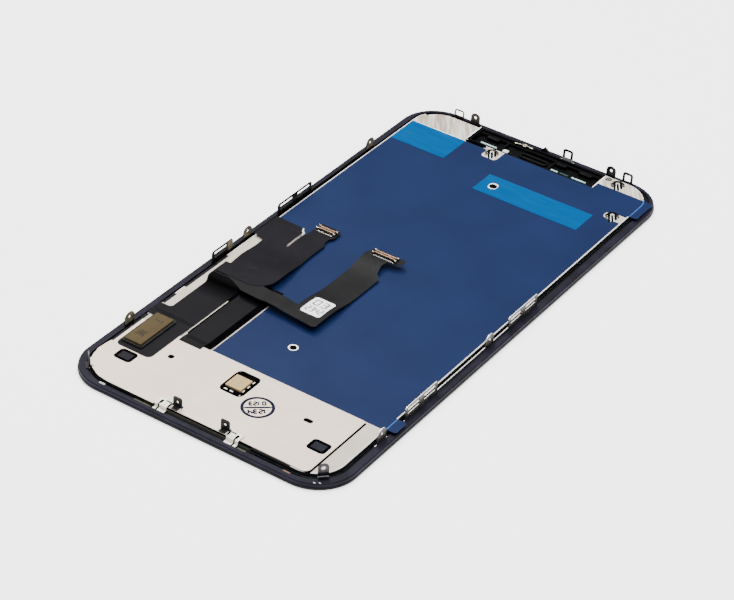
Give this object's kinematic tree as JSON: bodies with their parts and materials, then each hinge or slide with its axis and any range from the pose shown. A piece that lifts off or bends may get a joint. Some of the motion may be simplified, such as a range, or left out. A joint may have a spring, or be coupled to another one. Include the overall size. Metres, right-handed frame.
{
  "type": "phone display assembly",
  "caption": "Slim phone display assembly lying on its cover glass, showing a filmed steel back, spring clip rails round a plastic frame, and folded flexible circuits with connectors.",
  "frame": {"origin": "middle of the outer face of the cover glass, which the assembly lies on", "axes": "+Z from the glass through the layers to the back, +Y along the length to the earpiece end, +X across the width"},
  "size_m": [0.0716, 0.147, 0.0054],
  "materials": {
    "cover_glass": "polished, black printed border",
    "adhesive": "clear, satin",
    "polariser": "satin",
    "panel_glass": "polished",
    "silicon": "polished",
    "optical_film": "satin",
    "light_guide": "polished",
    "reflector": "mirror-like",
    "white_mould": "matt",
    "flex_brown": "satin",
    "lamp": "matt",
    "plate_steel": "bright, rolled",
    "blue_film": "satin, faintly textured",
    "tape_black": "satin",
    "blue_tape": "gloss",
    "frame_plastic": "satin, indigo sheen",
    "clip_steel": "bright, stamped",
    "dark_steel": "satin, blackened",
    "shield_steel": "bright, rolled",
    "board_black": "satin",
    "chip_metal": "satin",
    "pad_white": "matt",
    "foam_slate": "matt",
    "foam_plum": "matt",
    "flex_black": "satin",
    "module_black": "matt",
    "module_metal": "satin bronze",
    "connector_black": "satin",
    "contact_gold": "bright",
    "label_white": "matt paper",
    "tray_black": "satin",
    "foam_green": "matt",
    "spring_metal": "bright"
  },
  "bodies": {
    "root": {"cover_glass": "cover_glass", "optical_adhesive": "adhesive", "front_polariser": "polariser", "filter_glass": "panel_glass", "cell_glass": "panel_glass", "rear_polariser": "polariser", "display_driver_chip": "silicon", "lower_prism_film": "optical_film", "upper_prism_film": "optical_film", "diffuser_film": "optical_film", "light_guide": "light_guide", "reflector_film": "reflector", "mould_frame": "white_mould", "led_strip": "flex_brown", "backlight_leds": "lamp", "back_plate": "plate_steel", "edge_tape": "tape_black", "protective_film": "blue_film", "pull_tape_left": "blue_tape", "pull_tape_right": "blue_tape", "display_frame": "frame_plastic", "clip_rail_left": "clip_steel", "clip_rail_right": "clip_steel", "side_ear_left": "clip_steel", "side_ear_right": "clip_steel", "top_bracket_left": "clip_steel", "top_bracket_right": "clip_steel", "top_hook": "clip_steel", "corner_ear_left": "dark_steel", "corner_ear_right": "dark_steel", "screw_bracket_left": "dark_steel", "screw_bracket_right": "dark_steel", "driver_board": "board_black", "driver_shield": "shield_steel", "touch_chip_lid": "chip_metal", "board_pads": "pad_white", "foam_pad_left": "foam_slate", "foam_pad_right": "foam_plum", "main_flex": "flex_black", "backlight_flex": "flex_black", "module_base": "module_black", "module_lid": "module_metal", "display_flex": "flex_black", "display_connector": "connector_black", "display_contacts": "contact_gold", "touch_flex": "flex_black", "flex_label": "label_white", "touch_connector": "connector_black", "touch_contacts": "contact_gold", "sensor_tray": "tray_black", "sensor_pads": "foam_green", "sensor_contacts": "spring_metal", "ground_springs": "spring_metal", "frame_pads": "pad_white"}
  },
  "joints": []
}
